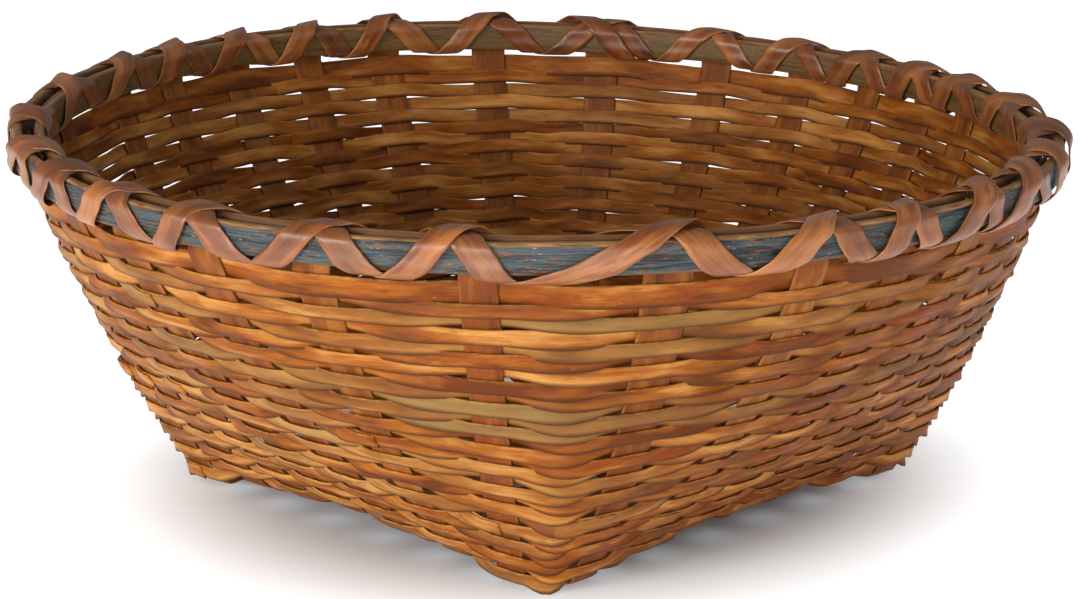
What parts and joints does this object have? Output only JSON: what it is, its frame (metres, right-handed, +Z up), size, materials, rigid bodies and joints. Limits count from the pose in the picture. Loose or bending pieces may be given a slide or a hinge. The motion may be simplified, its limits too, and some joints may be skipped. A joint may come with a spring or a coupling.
{
  "type": "splint basket",
  "caption": "Wide splint-woven basket that flares from a square plaited base to a round mouth bound with two painted hoops; it holds loose goods.",
  "frame": {"origin": "middle of the round mouth, on the plane that the basket stands on", "axes": "+Z up out of the mouth; X and Y are parallel to the sides of the square base"},
  "size_m": [0.4623, 0.4625, 0.1783],
  "materials": {
    "upright_splint": "bare aged splint, reddish brown, satin",
    "weaver_splint": "bare aged splint, honey brown, satin",
    "outer_hoop_paint": "worn slate blue paint over wood, bare cream top edge",
    "inner_hoop_paint": "faded olive paint over wood",
    "lashing_splint": "bare aged splint, satin"
  },
  "bodies": {
    "root": {"inner_hoop": "inner_hoop_paint", "lashing_left": "lashing_splint", "lashing_right": "lashing_splint", "outer_hoop": "outer_hoop_paint", "upright_splint_x_1": "upright_splint", "upright_splint_x_2": "upright_splint", "upright_splint_x_3": "upright_splint", "upright_splint_x_4": "upright_splint", "upright_splint_x_5": "upright_splint", "upright_splint_x_6": "upright_splint", "upright_splint_x_7": "upright_splint", "upright_splint_y_1": "upright_splint", "upright_splint_y_2": "upright_splint", "upright_splint_y_3": "upright_splint", "upright_splint_y_4": "upright_splint", "upright_splint_y_5": "upright_splint", "upright_splint_y_6": "upright_splint", "upright_splint_y_7": "upright_splint", "weaver_row_01": "weaver_splint", "weaver_row_02": "weaver_splint", "weaver_row_03": "weaver_splint", "weaver_row_04": "weaver_splint", "weaver_row_05": "weaver_splint", "weaver_row_06": "weaver_splint", "weaver_row_07": "weaver_splint", "weaver_row_08": "weaver_splint", "weaver_row_09": "weaver_splint", "weaver_row_10": "weaver_splint", "weaver_row_11": "weaver_splint", "weaver_row_12": "weaver_splint", "weaver_row_13": "weaver_splint", "weaver_row_14": "weaver_splint", "weaver_row_15": "weaver_splint", "weaver_row_16": "weaver_splint", "weaver_row_17": "weaver_splint", "weaver_row_18": "weaver_splint", "weaver_row_19": "weaver_splint", "weaver_row_20": "weaver_splint", "weaver_row_21": "weaver_splint", "weaver_row_22": "weaver_splint", "weaver_row_23": "weaver_splint", "weaver_row_24": "weaver_splint", "weaver_row_25": "weaver_splint", "weaver_row_26": "weaver_splint", "weaver_row_27": "weaver_splint", "weaver_row_28": "weaver_splint"}
  },
  "joints": []
}
